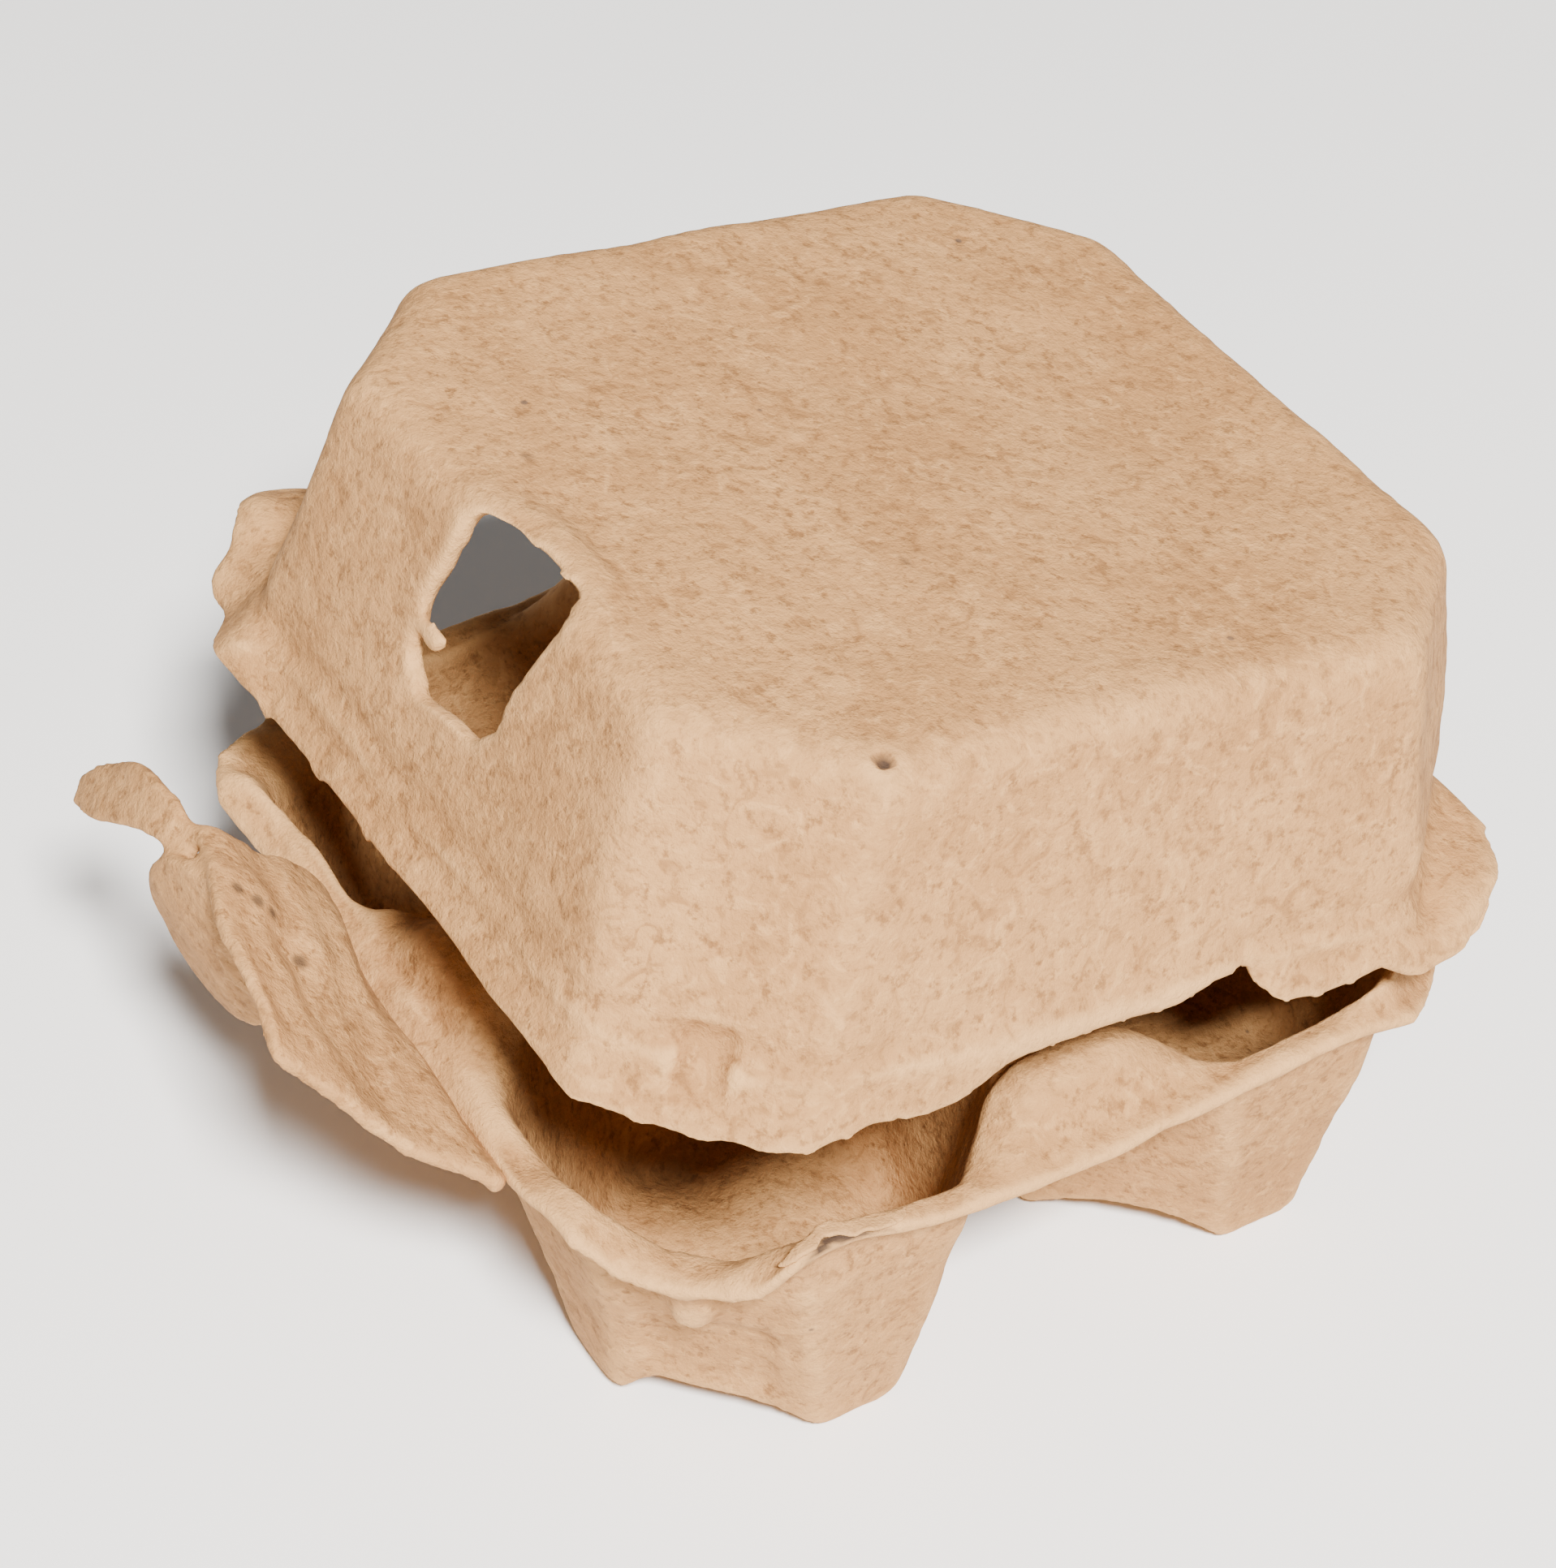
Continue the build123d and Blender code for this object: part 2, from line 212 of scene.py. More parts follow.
class Skin:
    """One even closed skin whose points are shaped in millimetres."""

    def __init__(self, name, mesh, cell):
        data = bpy.data.meshes.new(name)
        mesh.to_mesh(data)
        mesh.free()
        rough = bpy.data.objects.new(name + "_rough", data)
        scene.collection.objects.link(rough)
        remesh = rough.modifiers.new("even", "REMESH")
        remesh.mode = "VOXEL"
        remesh.voxel_size = cell * MM
        depsgraph = bpy.context.evaluated_depsgraph_get()
        even = bpy.data.meshes.new_from_object(rough.evaluated_get(depsgraph))
        even.name = name
        bpy.data.objects.remove(rough)
        self.object = bpy.data.objects.new(name, even)
        scene.collection.objects.link(self.object)
        count = len(even.vertices)
        flat = np.empty(count * 3, np.float32)
        even.vertices.foreach_get("co", flat)
        self.points = flat.reshape(-1, 3).astype(float) / MM
        ends = np.empty(len(even.edges) * 2, np.int32)
        even.edges.foreach_get("vertices", ends)
        self.ends = ends.reshape(-1, 2)
        self.links = np.bincount(self.ends.ravel(), minlength=count).astype(float)

    def mean(self, values):
        """Mean of each point's neighbours."""
        a, b = self.ends.T
        if values.ndim == 1:
            total = np.bincount(a, values[b], len(values)) + np.bincount(b, values[a], len(values))
            return total / self.links
        return np.stack([self.mean(values[:, k]) for k in range(values.shape[1])], axis=1)

    def relaxed(self, rounds, mask=1.0):
        """The points drawn half way to their neighbours, this many times."""
        points = self.points
        mask = np.reshape(mask, (-1, 1))
        for _ in range(rounds):
            points = points + (self.mean(points) - points) * 0.5 * mask
        return points

    def smooth(self, rounds, mask=1.0):
        self.points = self.relaxed(rounds, mask)

    def normals(self):
        data = self.object.data
        self.write()
        flat = np.empty(len(data.vertices) * 3, np.float32)
        data.vertex_normals.foreach_get("vector", flat)
        return flat.reshape(-1, 3).astype(float)

    def bulge(self, rounds):
        """How far each point stands proud of its smoothed surroundings."""
        return ((self.points - self.relaxed(rounds)) * self.normals()).sum(1)

    def warp(self, size, amount, seed, mask=1.0):
        """Bends both faces of the sheet together."""
        moves = [wobble(self.points, size, seed + k) for k in range(3)]
        self.points = self.points + np.stack(moves, axis=1) * amount * np.reshape(mask, (-1, 1))

    def fray(self, seed, amount):
        """Makes the free edges of the sheet uneven."""
        out = self.points - self.relaxed(6)
        reach = np.linalg.norm(out, axis=1)
        edge = self.mean(self.mean(ramp(reach, 0.16, 0.42)))
        out = out / np.maximum(reach, 0.05)[:, None]
        jag = 0.5 * wobble(self.points, 11.0, seed) + 0.3 * wobble(self.points, 3.6, seed + 1)
        jag = jag + 0.55 * wobble(self.points, 1.0, seed + 2)
        self.points = self.points + out * (edge * jag * amount)[:, None]

    def grain(self, seed, amount):
        """Fine unevenness of the moulded face."""
        height = wobble(self.points, 7.0, seed) + 0.8 * wobble(self.points, 3.2, seed + 1)
        height = height + 0.7 * wobble(self.points, 1.4, seed + 2)
        self.points = self.points + self.normals() * (height * amount)[:, None]

    def write(self):
        data = self.object.data
        data.vertices.foreach_set("co", (self.points * MM).astype(np.float32).ravel())
        data.update()

    def tone(self, ridge, marks):
        """Stores the painted highlight on ridges and painted shade in furrows, and how dark marks are, for
        the material.
        """
        data = self.object.data
        for name, values in (("ridge", ridge), ("mark", marks)):
            store = data.attributes.new(name, "FLOAT", "POINT")
            store.data.foreach_set("value", np.asarray(values, np.float32))
        data.polygons.foreach_set("use_smooth", np.ones(len(data.polygons), bool))
        data.update()


def pulp_material(name):
    """Grey-brown moulded pulp: mottled, with short fibres and specks, a painted highlight on ridges, painted
    shade in furrows, and dark marks.
    """
    material = bpy.data.materials.new(name)
    material.use_nodes = True
    nodes = material.node_tree.nodes
    links = material.node_tree.links
    nodes.clear()
    output = nodes.new("ShaderNodeOutputMaterial")
    shader = nodes.new("ShaderNodeBsdfPrincipled")
    shader.inputs["Roughness"].default_value = 0.92
    shader.inputs["Specular IOR Level"].default_value = 0.25
    links.new(shader.outputs["BSDF"], output.inputs["Surface"])
    place = nodes.new("ShaderNodeTexCoord")

    def texture(kind, scale, detail, roughness, distortion):
        node = nodes.new("ShaderNodeTexNoise")
        node.noise_type = kind
        node.inputs["Scale"].default_value = scale
        node.inputs["Detail"].default_value = detail
        node.inputs["Roughness"].default_value = roughness
        node.inputs["Distortion"].default_value = distortion
        links.new(place.outputs["Object"], node.inputs["Vector"])
        return node.outputs["Fac"]

    def fit(value, low, high, strength):
        """0 at low and this strength at high."""
        node = nodes.new("ShaderNodeMapRange")
        node.interpolation_type = "SMOOTHSTEP"
        for socket, number in (("From Min", low), ("From Max", high), ("To Min", 0.0), ("To Max", strength)):
            node.inputs[socket].default_value = number
        links.new(value, node.inputs["Value"])
        return node.outputs["Result"]

    def combine(operation, a, b):
        node = nodes.new("ShaderNodeMath")
        node.operation = operation
        for socket, value in zip(node.inputs, (a, b)):
            if isinstance(value, float):
                socket.default_value = value
            else:
                links.new(value, socket)
        return node.outputs["Value"]

    def mix(amount, a, b):
        node = nodes.new("ShaderNodeMix")
        node.data_type = "RGBA"
        links.new(amount, node.inputs["Factor"])
        sockets = [s for s in node.inputs if s.type == "RGBA"]
        for socket, value in zip(sockets, (a, b)):
            if isinstance(value, tuple):
                socket.default_value = value + (1.0,)
            else:
                links.new(value, socket)
        return [s for s in node.outputs if s.type == "RGBA"][0]

    def stored(attribute):
        node = nodes.new("ShaderNodeAttribute")
        node.attribute_name = attribute
        return node.outputs["Fac"]

    clouds = texture("FBM", 60.0, 4.0, 0.6, 0.6)
    squiggles = texture("FBM", 330.0, 2.5, 0.55, 1.5)
    fibres = texture("RIDGED_MULTIFRACTAL", 240.0, 3.0, 0.55, 1.6)
    grains = texture("FBM", 700.0, 4.0, 0.7, 0.0)
    hairs = texture("FBM", 1500.0, 3.0, 0.7, 0.8)
    ridges = stored("ridge")
    colour = mix(fit(clouds, 0.3, 0.7, 1.0), GROUND_DARK, GROUND_PALE)
    for pattern, low, high, strength, tint in (
        (squiggles, 0.46, 0.30, 0.72, SQUIGGLE_DARK),
        (squiggles, 0.52, 0.70, 0.6, SQUIGGLE_PALE),
        (fibres, 0.5, 1.5, 0.45, FIBRE),
        (grains, 0.5, 0.3, 0.9, GRAIN),
        (hairs, 0.58, 0.75, 0.4, HAIR),
        # Painted highlight on ridges and painted shade in furrows, from the stored ridge values
        (ridges, 0.0, 0.4, 0.7, RIDGE_HIGHLIGHT),
        (ridges, -0.05, -0.45, 0.4, FURROW_SHADE),
    ):
        colour = mix(fit(pattern, low, high, strength), colour, tint)
    cells = nodes.new("ShaderNodeTexVoronoi")
    cells.inputs["Scale"].default_value = 120.0
    links.new(place.outputs["Object"], cells.inputs["Vector"])
    chosen = nodes.new("ShaderNodeSeparateColor")
    links.new(cells.outputs["Color"], chosen.inputs["Color"])
    specks = fit(cells.outputs["Distance"], 0.06, 0.03, 1.0)
    specks = combine("MULTIPLY", specks, fit(chosen.outputs["Red"], 0.5, 0.7, 0.85))
    colour = mix(specks, colour, SPECK)
    # Dark marks, which on the tray are painted shade in the slit
    colour = mix(stored("mark"), colour, MARK)
    links.new(colour, shader.inputs["Base Color"])
    height = combine("ADD", combine("MULTIPLY", grains, 0.6), combine("MULTIPLY", squiggles, 0.2))
    height = combine("ADD", height, combine("MULTIPLY", hairs, 0.3))
    bump = nodes.new("ShaderNodeBump")
    bump.inputs["Strength"].default_value = 0.7
    bump.inputs["Distance"].default_value = 0.0009
    links.new(height, bump.inputs["Height"])
    links.new(bump.outputs["Normal"], shader.inputs["Normal"])
    return material


def dress(skin, body, material):
    """Puts the material on a finished skin and hangs it on its body."""
    skin.write()
    skin.object.data.materials.append(material)
    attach(skin.object, body)


pulp = pulp_material("pulp")

# Tray, with a lug on the outer corner of each cup
LUG_PLACES = ((41.3, -41.9), (-41.6, -41.6), (41.6, 41.6), (-41.6, 41.6))
LUG_HEIGHT = 24.7
LUG_RADII = (2.8, 2.8, 4.4)
mesh = node_mesh("tray")
for place in LUG_PLACES:
    blob(mesh, place + (LUG_HEIGHT,), LUG_RADII)
tray = Skin("tray_pulp", mesh, TRAY_CELL)
tray.smooth(6)
tray.smooth(16, ramp(tray.points[:, 2], 33.0, 35.5))
p = tray.points
x, y, z = p.T
# The front hump is pressed lower and to one side
HUMP_FOOT = 34.0
hump = ramp(z, 33.0, 36.0) * ramp(-y, 36.0, 42.0) * fall(np.abs(x), 9.0, 24.0)
x += hump * 1.4 * ramp(z, 33.0, 40.0)
z -= hump * 0.36 * np.clip(z - HUMP_FOOT, 0, None)
flank = bell(x, 18.0, 7.0) * ramp(z, 31.0, 35.0) * ramp(-y, 38.0, 44.0)
x += flank * 2.5
z += flank * 0.6
# The right-hand hump is pressed lower
near = ramp(z, 33.0, 36.0) * ramp(x, 36.0, 42.0) * fall(np.abs(y), 15.0, 20.0)
z -= near * 0.42 * np.clip(z - HUMP_FOOT, 0, None)
# An apron runs out from the front hump to the flap
inner = ramp(y, -53.2, -48.6) * fall(y, -46.0, -42.0) * ramp(z, 30.5, 32.5)
z += inner * 1.9 * ramp(x, -24.0, -14.0) * fall(x, 17.0, 25.0) * (1 - hump)
z += inner * 2.6 * ramp(x, -47.0, -39.0) * fall(x, -24.0, -14.0)
# The front left ear is bent up and outward
ear = mound(x, y, (-45.0, -48.0), 80.0) * ramp(z, 25.0, 31.0)
p += ear[:, None] * np.array([-3.4, -4.0, 6.8])
# The lip dips in a narrow V at the near corner and is torn narrower beyond it
beyond = ramp(x, 43.0, 47.0) * ramp(z, 26.0, 29.0) * bell(y, -31.0, 10.5)
z += beyond * 2.5
x -= beyond * 1.7 * ramp(x, 48.0, 52.5)
z += 0.9 * ramp(z, 26.0, 29.0) * mound(x, y, (47.0, -47.0), 90.0)
before = ramp(-y, 43.0, 47.0) * ramp(z, 26.0, 29.0) * bell(x, 33.0, 7.0)
z += before * 1.5
# Under the lid's back ears the tray's corners are bent down
corner = mound(np.abs(x), y, (46.5, 42.5), 60.0) * ramp(z, 27.0, 31.0)
z -= corner * 3.0
x += corner * 0.9 * np.sign(x)
# The front lip's right half is drawn out a little
drawn = 0.8 * ramp(z, 27.0, 30.0) * ramp(-y, 47.0, 50.0)
y -= drawn * ramp(x, 1.0, 7.0) * fall(x, 28.0, 34.0)
# The edge between the near cup's feet arches up beside the left foot
across = (x + y) / DIAGONAL
reach = (x - y) / DIAGONAL
z += 1.3 * bell(across, -6.2, 3.0) * fall(z, 3.0, 9.0) * ramp(reach, 38.0, 42.0)
# The front hump's right-hand foot runs smoothly into the lip
HUMP_END = (13.5, -48.0, 36.0)
tray.smooth(40, np.exp(-((p - HUMP_END) ** 2).sum(1) / 40.0))
above = ramp(tray.points[:, 2], 3.0, 14.0)
tray.warp(34.0, 0.7, 10, above)
tray.warp(11.0, 0.34, 20, above)
# The lip is wavy, most of all at the front
p = tray.points
x, y, z = p.T
lip = ramp(z, 26.5, 29.0) * ramp(np.maximum(np.abs(x), np.abs(y)), 45.0, 50.0)
front = lip * ramp(-y, 46.0, 50.0) * fall(np.abs(x), 24.0, 32.0)
z += lip * (0.6 * wobble(p, 13.0, 31) + 0.35 * wobble(p, 5.0, 32))
z += front * 0.7 * wobble(p * (0.3, 1.0, 1.0), 2.6, 33)
# Crease along the middle of the lip
round_lip = (np.abs(x) ** 8 + np.abs(y) ** 8) ** 0.125 + 0.7 * wobble(p, 9.0, 35)
z -= lip * 0.55 * bell(round_lip, 50.0, 0.6) * ramp(wobble(p, 12.0, 36), -0.5, 0.3)
# Panel sunk below the lug of the near cup, with creases across it
across = (x + y) / DIAGONAL
reach = (x - y) / DIAGONAL
panel = fall(np.abs(across), 5.5, 8.0) * fall(z, 17.5, 20.5)
panel = panel * ramp(z, 5.0, 8.0) * ramp(reach, 48.0, 51.0)
crease = bell(z, 17.4, 0.7) + bell(z, 15.2, 0.6)
sink = panel * (0.75 + 0.35 * crease * ramp(across, -4.0, 1.0))
x -= sink * 0.7
y += sink * 0.7
tray.fray(40, 0.7)
tray.smooth(1)
tray.grain(50, 0.11)
# Painted shade in the slit along the crest of the right-hand lip, under the split layer
CREST_STEPS = 50
x, y = tray.points.T[:2]
crest = []
for place in np.linspace(-38.0, -23.0, CREST_STEPS):
    close = tray.points[(np.abs(y - place) < 0.8) & (np.abs(x - 49.0) < 3.5)]
    crest.append(close[np.argmax(close[:, 2])])
crest = np.array(crest)
for _ in range(6):
    crest[1:-1] = (crest[:-2] + 2 * crest[1:-1] + crest[2:]) / 4
slit_shade = np.zeros(len(tray.points))
for place in crest[8:42]:
    slit_shade = np.maximum(slit_shade, spot(tray.points, place + (1.2, 0, -0.1), 0.9))
# Painted highlight on ridges, painted shade in furrows, and painted shade in the slit
tray.tone(tray.bulge(12), slit_shade)
dress(tray, "tray", pulp)
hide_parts("tray")

# Layer of the right-hand lip that has split off and curled up
LAYER_STEPS = 8
LAYER_SHEET = 0.5
lengthwise = np.linspace(0, 1, CREST_STEPS)
taper = np.sin(lengthwise * pi) ** 0.5
lift = taper * (0.36 + 0.2 * np.sin(lengthwise * 11.0))
strip = np.empty((CREST_STEPS, LAYER_STEPS, 3))
for i in range(CREST_STEPS):
    for j, out in enumerate(np.linspace(0, 1, LAYER_STEPS)):
        strip[i, j] = crest[i] + (-0.9 + (0.4 + 2.0 * taper[i]) * out, 0, lift[i] * (0.2 + out))
mesh = bmesh.new()
slab(mesh, strip, LAYER_SHEET)
layer = Skin("layer_pulp", mesh, LAYER_CELL)
layer.smooth(2)
layer.warp(3.0, 0.3, 70)
layer.fray(80, 0.25)
layer.tone(np.full(len(layer.points), 0.25), np.zeros(len(layer.points)))
dress(layer, "tray", pulp)

# Lid
HINGE_HALF = 42.0
HINGE_RADIUS = 1.3
mesh = node_mesh("lid")
rod(mesh, HINGE + (-HINGE_HALF, 0, 0), HINGE + (HINGE_HALF, 0, 0), HINGE_RADIUS)
# The skirt runs on round the back corners as flared ears
EAR_STEPS = 40
EAR_ROWS = 8
EAR_SHEET = 1.8
wall_line = [(51.0, 32, 0), (51.2, 38, 0.3), (49.6, 42, 0.6)]
wall_line += [(46, 45.6, 0.6), (41.5, 48.4, 0.2), (36, 49.8, -0.4)]
edge_line = [(54.0, 32, -4.2), (54.2, 38, -4.0), (53.4, 42, -2.8)]
edge_line += [(51.0, 45.8, -1.2), (47.2, 48.8, -0.6), (43, 50.8, -0.6)]
wall = spread(wall_line, EAR_STEPS)[:, None]
edge = spread(edge_line, EAR_STEPS)[:, None]
flare = wall + (edge - wall) * np.linspace(0, 1, EAR_ROWS)[None, :, None]
for mirror in (1, -1):
    band = from_lid(flare.reshape(-1, 3) * (mirror, 1, 1)).reshape(flare.shape)
    slab(mesh, band[::mirror], EAR_SHEET)
    blob(mesh, from_lid(np.array([49.8 * mirror, 40.3, -1.6])), (2.4, 2.8, 1.7))
# Shreds left at the left and upper edges of the latch hole
for place, radii in (((-2.0, -47.2, 19.2), (2.4, 0.9, 1.4)), ((7.8, -42.8, 31.2), (2.0, 1.6, 0.6))):
    blob(mesh, from_lid(np.array(place)), radii)
lid = Skin("lid_pulp", mesh, LID_CELL)
x, y, z = to_lid(lid.points).T
hole = fall(np.abs(x - 3.4), 9.0, 12.0) * ramp(z, 9.0, 12.0) * ramp(-y, 38.0, 41.0)
lid.smooth(8, 1 - 0.8 * hole)
# The skirt's edge is worn round and hangs a little lower
edge = fall(z, 2.5, 5.0) * fall(y, 36.0, 44.0)
lid.points[:, 2] -= edge * 0.7
lid.smooth(16, edge)
x, y, z = to_lid(lid.points).T
hinge = fall(np.abs(y - HINGE[1]) + np.abs(z), 4.0, 14.0)
free = 1 - hinge
lid.warp(38.0, 0.8, 110, free)
lid.warp(12.0, 0.28, 120, free)
# The latch hole is torn wider, and over the top fold
HOLE_CENTRE = (3.2, 22.5)
q = to_lid(lid.points)
x, y, z = q.T
off = q[:, [0, 2]] - HOLE_CENTRE
away = np.linalg.norm(off, axis=1)
wide = ramp(-y, 38.0, 41.0) * ramp(away, 2.0, 6.0) * fall(away, 9.5, 17.0)
x += off[:, 0] / np.maximum(away, 1.0) * wide * 0.6
z += off[:, 1] / np.maximum(away, 1.0) * wide * 0.9
lower = ramp(-y, 38.0, 41.0) * fall(away, 10.0, 20.0) * fall(z, 18.0, 29.0)
x -= lower * 3.2
z -= lower * (0.4 + 1.6 * ramp(-off[:, 0], -3.0, 6.0))
over = fall(np.abs(x - 5.5), 5.0, 10.0) * ramp(z, 26.0, 29.0) * fall(y, -43.0, -31.0)
y += over * 1.5
# The back of the cover stands a little further out, most at its far corner
further = 2.4 - 1.2 * np.clip((x + 25.0) / 65.0, 0, 1)
upper = np.maximum(ramp(z, 8.0, 22.0), ramp(x, 24.0, 34.0) * ramp(z, 2.0, 7.0))
y += further * ramp(y, 10.0, 36.0) * upper
# The top is slightly hollow
TOP_HALF = 46.0
dish = np.clip(1 - (x / TOP_HALF) ** 2, 0, 1) * np.clip(1 - (y / TOP_HALF) ** 2, 0, 1)
z -= dish * ramp(z, 24.0, 29.0) * 0.9
# The front left ear is curled up, and the front skirt's end beside it is bent out and up
aside = (x - y) / DIAGONAL
low = ramp(-z, -3.0, 3.6)
outer = ramp((-x - y) / DIAGONAL, 50.0, 60.0)
ear = low * bell(aside, -3.0, 12.0) * outer
hem = low * bell(aside, 12.5, 5.5) * outer
tip = low * bell(aside, 11.5, 3.0) * outer
curl = ramp(-aside, -5.0, 7.0)
push = ear * (-0.8 + 3.4 * curl + 3.3 * bell(aside, 2.6, 3.2))
x -= push - tip * 2.4
y -= push + hem * 2.0
z += ear * (0.6 + 5.4 * curl) + hem * 2.0
# The skirt hangs lower at the near corner, with a narrow band pressed in above its edge
front = (x - y) / DIAGONAL
slant = (x + y) / DIAGONAL
skirt = ramp(-z, 0.5, 4.0) * ramp(front, 58.0, 63.0) * bell(slant, 0.0, 13.0)
z -= skirt * 1.6
press = fall(np.abs(slant - 0.2), 2.0, 2.9) * fall(z, 2.2, 3.8) * ramp(front, 56.0, 58.0)
press = press * ramp(z, -4.2, -2.6)
x -= press
y += press
# Pit in the top near its right-hand edge
PIT = (43.3, -29.1)
z -= spot(q, PIT + (31.0,), 1.2) * 0.9
# The right-hand skirt's torn lower edge: places along it and its heights there
SLOT = 0.6
torn = [(-31, -4.6), (-22, -5.0), (-18.6, -4.5), (-15.5, -3.2), (-13, -2.1), (-10, -1.9)]
torn += [(-5, -1.6), (3.3, -1.6), (6.7, -1.5), (10, -0.5), (14, -0.2), (15.1, -0.7)]
torn += [(15.8, -2.5), (18.3, -3.9), (23.5, -4.5), (26.6, -4.3), (31, -3.4), (36, -3.8)]
side = (x > 44.0) & (z < 9.0)
slots = np.arange(-34.0, 38.0, SLOT)
lowest = [z[side & (np.abs(y - place) < 0.5)].min() for place in slots]
lowest = np.interp(y, slots, lowest)
shift = np.interp(y, *np.array(torn).T) - lowest
shift = shift * side * ramp(y, -31.0, -26.0) * fall(y, 30.0, 36.0)
shift = shift * fall(z - lowest, 1.2, 6.0)
z += shift
x -= 0.5 * np.minimum(shift, 0)
lid.points = from_lid(q)
# Crease where the cover turns into its flared skirt
facing = lid.normals() @ LID_AXES.T
sideways = ramp(np.hypot(facing[:, 0], facing[:, 1]), 0.5, 0.8)
sideways = sideways * (facing[:, 0] * x + facing[:, 1] * y > 0)
level = z + 0.7 * wobble(q, 14.0, 130)
bead = bell(level, 0.2, 1.1) - 0.5 * bell(level, 2.8, 1.4)
bead = bead * sideways * free * (1 - press) * (0.7 + 0.5 * wobble(q, 9.0, 131))
lid.points = lid.points + lid.normals() * (bead * 0.6)[:, None]
# Fibres left hanging from the front skirt's edge
q = to_lid(lid.points)
x, y, z = q.T
tuft = ramp(wobble(q * (1.0, 0.0, 0.0), 1.7, 160), 0.2, 0.75) * ramp(x, -34.0, -26.0)
tuft = tuft * fall(x, -4.0, 4.0) * ramp(-y, 46.0, 49.0) * fall(z, -3.4, -1.4)
lid.points = lid.points - LID_AXES[2] * (tuft * 1.1)[:, None]
lid.fray(140, 0.6)
lid.smooth(1)
lid.grain(150, 0.10)
# Dark marks in the pit and on the top
q = to_lid(lid.points)
marks = spot(q, PIT + (30.4,), 1.2)
for place in ((-10.6, -36.1, 31.2), (17.3, -10.1, 31.2)):
    marks = np.maximum(marks, 0.7 * spot(q, place, 0.9))
# Painted highlight on ridges and along the crease's bead, and painted shade in furrows
lid.tone(lid.bulge(12) + 0.1 * np.clip(bead, 0, 1), marks)
dress(lid, "lid", pulp)
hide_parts("lid")

# Locking flap: wrinkled tongue, in rows from the fold to the tip
TONGUE_ROWS = 70
TONGUE_COLUMNS = 100
TONGUE_SHEET = 1.7
TONGUE_FACE = np.array([0.0, 0.74, 0.67])
rows = [
    [(place, FOLD[1], FOLD[2]) for place in (-22, -14, -5, 5, 15, 26.0)],
    [(-15, -54.1, 37.2), (-10, -54.5, 37.2), (-4, -54.7, 36.8), (5, -55.1, 36.2), (14, -55.4, 35.6)],
    [(-14.4, -54.2, 42.4), (-10, -55.6, 42.6), (-4, -57.4, 41.6), (5, -59.4, 40), (13.5, -61, 38.9)],
    [(-16, -59.6, 47.6), (-11, -61.2, 47.8), (-4.5, -63.2, 47.4), (4, -65, 46.4), (11.5, -66.6, 45.4)],
    [(-17.6, -65.8, 50.6), (-11, -67.6, 52), (-4, -69.6, 53.6), (3, -70.2, 53.8), (9.5, -71, 52.8)],
]
right_ends = [(25, -56.6, 34.8), (22, -61.8, 37.8), (18, -67.4, 44.6), (15, -72, 50.8)]
for row, end in zip(rows[1:], right_ends):
    row.append(end)
net = spread(rows, TONGUE_ROWS)
net = spread(net.transpose(1, 0, 2), TONGUE_COLUMNS).transpose(1, 0, 2)
flat = net.reshape(-1, 3)
folds = wobble(flat * (0.28, 1.0, 1.0), 4.6, 201) + 0.45 * wobble(flat * (0.4, 1.0, 1.0), 2.1, 202)
upward = np.linspace(0, 1, TONGUE_ROWS)
rightward = np.linspace(0, 1, TONGUE_COLUMNS)
rise = np.outer(ramp(upward, 0.1, 0.5), 1 - 0.85 * ramp(rightward, 0.8, 1.0))
arch = np.sin(np.linspace(0, pi, TONGUE_ROWS)) * ramp(upward, 0.15, 0.5)
hollow = np.outer(arch, np.sin(np.linspace(0, pi, TONGUE_COLUMNS)))
height = folds.reshape(rise.shape) * rise + hollow * 0.9
mesh = bmesh.new()
slab(mesh, net + TONGUE_FACE * height[:, :, None], TONGUE_SHEET)
rod(mesh, FOLD + (-25.3, 0, 0), FOLD + (25.2, 0, 0), 1.15)
# Button that hangs from the tongue's tip, domed outward
BUTTON_STEPS = 60
BUTTON_RINGS = 16
BUTTON_RADIUS = 10.5
BUTTON_DOME = 1.1
BUTTON_SHEET = 1.6
BUTTON_CENTRE = np.array([-11.6, -66.2, 41.4])
BUTTON_ACROSS = np.array([0.982, 0.178, 0.06])
BUTTON_UPWARD = np.array([0.02, -0.12, 0.99])
BUTTON_OUTWARD = np.array([0.1, -1.0, 0.0])
disc = np.empty((BUTTON_RINGS, BUTTON_STEPS, 3))
for i, r in enumerate(np.linspace(0.02, 1, BUTTON_RINGS)):
    for j, turn in enumerate(np.linspace(0, 2 * pi, BUTTON_STEPS, endpoint=False)):
        disc[i, j] = BUTTON_CENTRE
        disc[i, j] += (BUTTON_ACROSS * cos(turn) + BUTTON_UPWARD * sin(turn)) * BUTTON_RADIUS * r
        disc[i, j] += BUTTON_OUTWARD * (BUTTON_DOME * (1 - r * r))
slab(mesh, disc, BUTTON_SHEET)
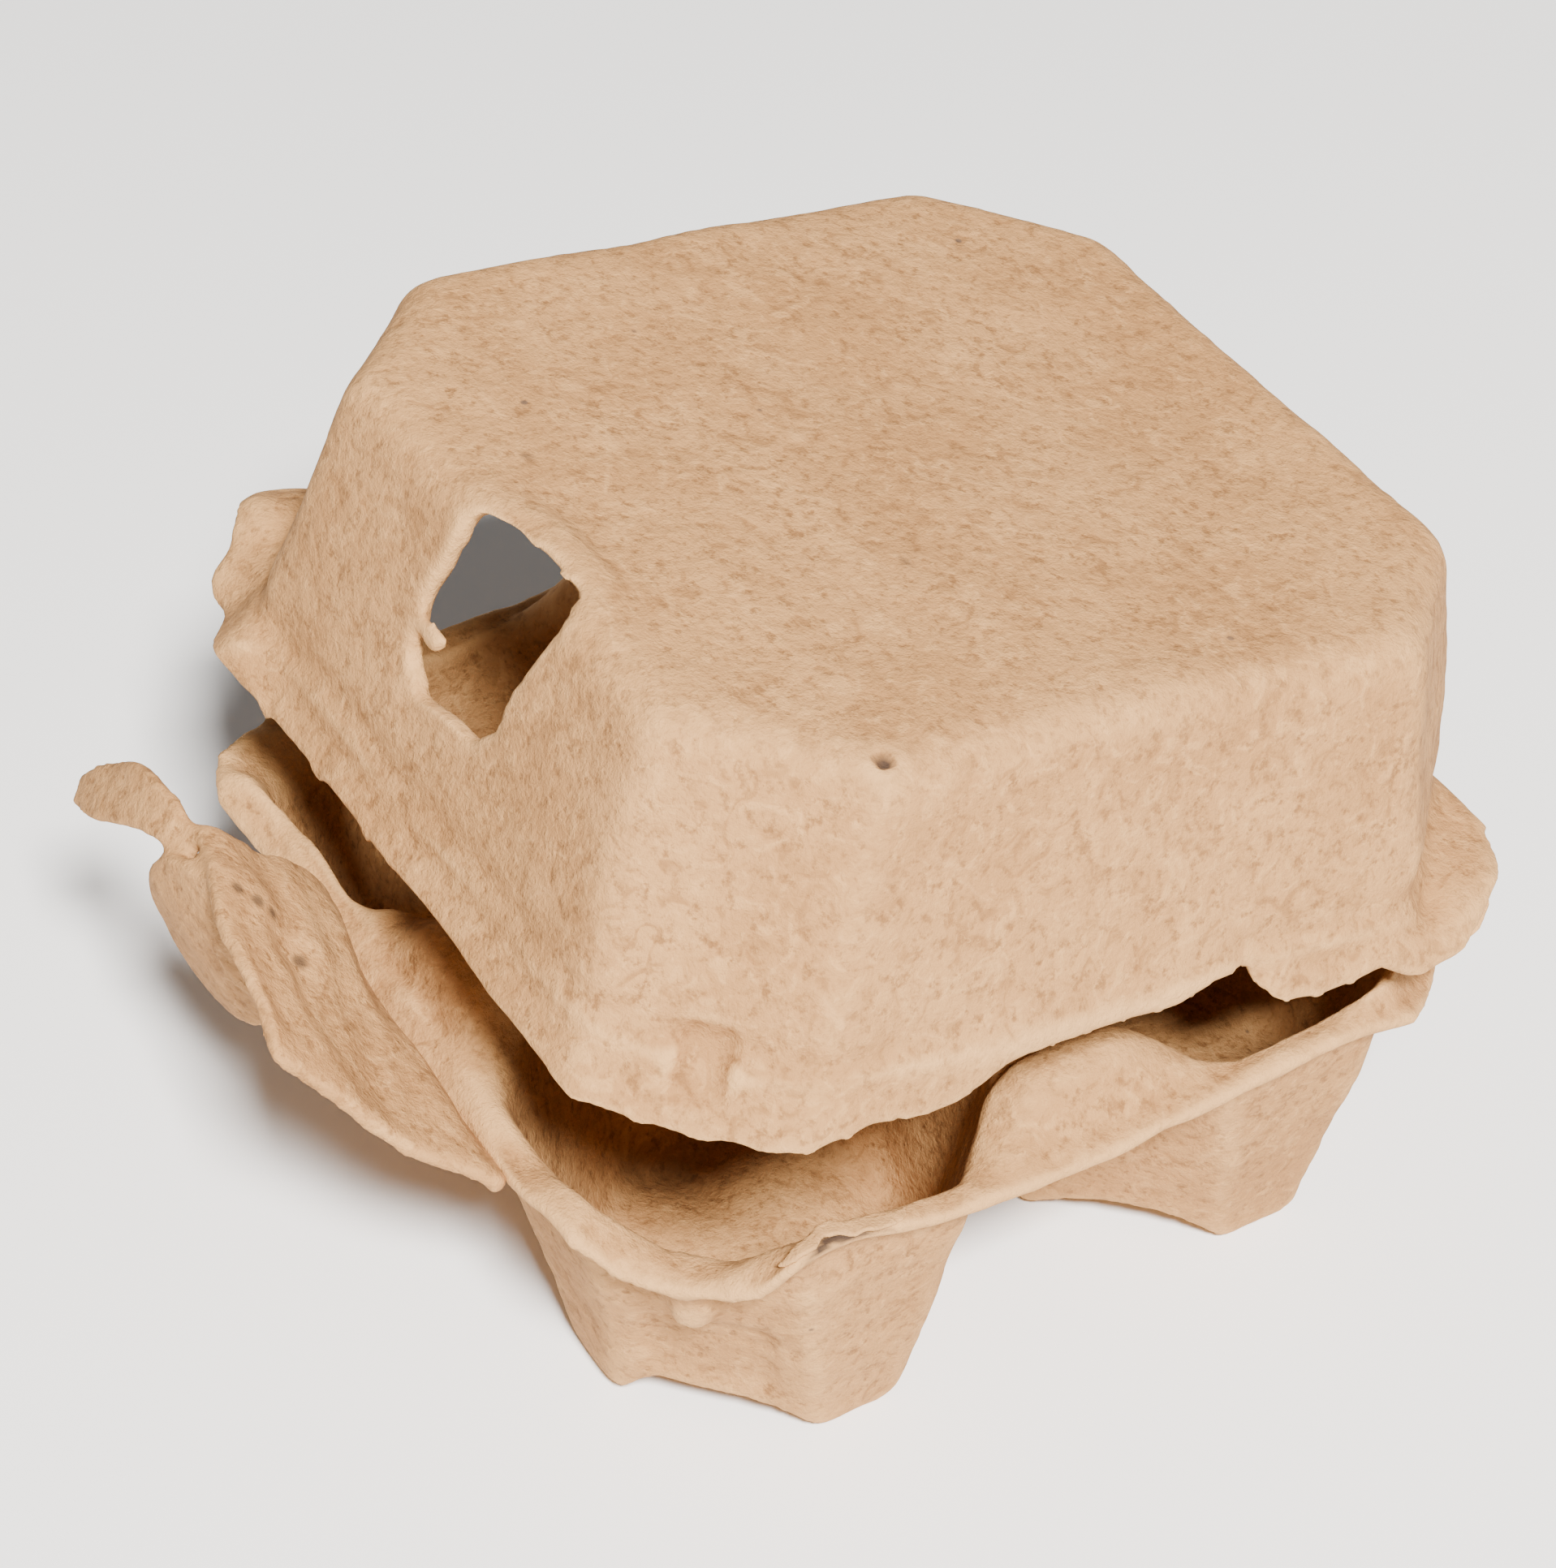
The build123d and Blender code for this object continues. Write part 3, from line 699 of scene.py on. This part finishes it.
# Torn end beyond the neck
END_STEPS = 40
END_COLUMNS = 13
END_SHEET = 1.6
END_WIDTH = np.array([0.407, -0.622, -0.669])
end_line = [(-15.5, -66.2, 49.6), (-21, -66.3, 50.6), (-29, -66.8, 48.2)]
end_line += [(-35.5, -67.4, 44.2), (-40.5, -68, 40.6)]
spine = spread(end_line, END_STEPS)[:, None, :]
half = spread([[1.9], [2.4], [3.3], [3.1], [1.5]], END_STEPS)[:, None, :]
slab(mesh, spine + END_WIDTH * half * np.linspace(-1, 1, END_COLUMNS)[None, :, None], END_SHEET)
flap = Skin("flap_pulp", mesh, FLAP_CELL)
flap.smooth(7)
from_fold = np.linalg.norm(flap.points[:, 1:] - FOLD[1:], axis=1)
flap.warp(9.0, 0.45, 210, ramp(from_fold, 2.0, 6.0))
flap.fray(220, 0.25)
flap.smooth(1)
flap.grain(230, 0.10)
# Dark spots on the tongue
marks = np.zeros(len(flap.points))
for centre, radius in (
    ((-6.2, -66.9, 51.3), 1.1),
    ((-5.0, -65.5, 49.8), 1.2),
    ((-4.2, -64.2, 48.4), 1.0),
    ((0.5, -63.4, 45.8), 1.2),
):
    off = flap.points - np.array(centre)
    off -= 0.85 * (off @ TONGUE_FACE)[:, None] * TONGUE_FACE
    marks = np.maximum(marks, 0.8 * spot(off, (0, 0, 0), radius))
# Painted highlight on ridges and painted shade in furrows, at half strength
flap.tone(0.5 * flap.bulge(14), marks)
dress(flap, "locking_flap", pulp)
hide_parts("locking_flap")

# Floor, light and camera
FLOOR_HALF = 4
FLOOR_COLOUR = (0.93, 0.93, 0.93, 1.0)
FLOOR_ROUGHNESS = 0.95
STUDIO_COLOUR = (1.0, 0.99, 0.97, 1.0)
STUDIO_STRENGTH = 0.16
LAMP_AIM = Vector((0, 0, 0.04))
CAMERA_PLACE = Vector((0.29496, -0.18667, 0.34789))
CAMERA_AIM = Vector((-0.00358, -0.00509, 0.04048))
SENSOR = 36.0
FOCAL_PIXELS = 5469.4
PICTURE_PIXELS = 1932

floor_mesh = bpy.data.meshes.new("floor")
floor_corners = [(x * FLOOR_HALF, y * FLOOR_HALF, 0) for x, y in ((-1, -1), (1, -1), (1, 1), (-1, 1))]
floor_mesh.from_pydata(floor_corners, [], [(0, 1, 2, 3)])
floor = bpy.data.objects.new("floor", floor_mesh)
scene.collection.objects.link(floor)
paper = bpy.data.materials.new("floor")
paper.use_nodes = True
paper_shader = paper.node_tree.nodes["Principled BSDF"]
paper_shader.inputs["Base Color"].default_value = FLOOR_COLOUR
paper_shader.inputs["Roughness"].default_value = FLOOR_ROUGHNESS
floor_mesh.materials.append(paper)

world = bpy.data.worlds.new("studio")
world.use_nodes = True
background = world.node_tree.nodes["Background"]
background.inputs["Color"].default_value = STUDIO_COLOUR
background.inputs["Strength"].default_value = STUDIO_STRENGTH
scene.world = world


def lamp(name, place, size, power, colour):
    """Soft square light that faces the object."""
    light = bpy.data.lights.new(name, "AREA")
    light.size = size
    light.energy = power
    light.color = colour
    holder = bpy.data.objects.new(name, light)
    scene.collection.objects.link(holder)
    holder.location = place
    holder.rotation_euler = (LAMP_AIM - Vector(place)).to_track_quat("-Z", "Y").to_euler()


lamp("key", place=(0.83, -0.28, 1.10), size=0.22, power=72.0, colour=(1.0, 0.97, 0.93))
lamp("fill", place=(-0.5, -1.1, 0.7), size=0.9, power=0.3, colour=(0.97, 0.98, 1.0))

lens = bpy.data.cameras.new("camera")
lens.sensor_width = SENSOR
lens.lens = SENSOR * FOCAL_PIXELS / PICTURE_PIXELS
camera = bpy.data.objects.new("camera", lens)
scene.collection.objects.link(camera)
camera.location = CAMERA_PLACE
camera.rotation_euler = (CAMERA_AIM - CAMERA_PLACE).to_track_quat("-Z", "Y").to_euler()
scene.camera = camera
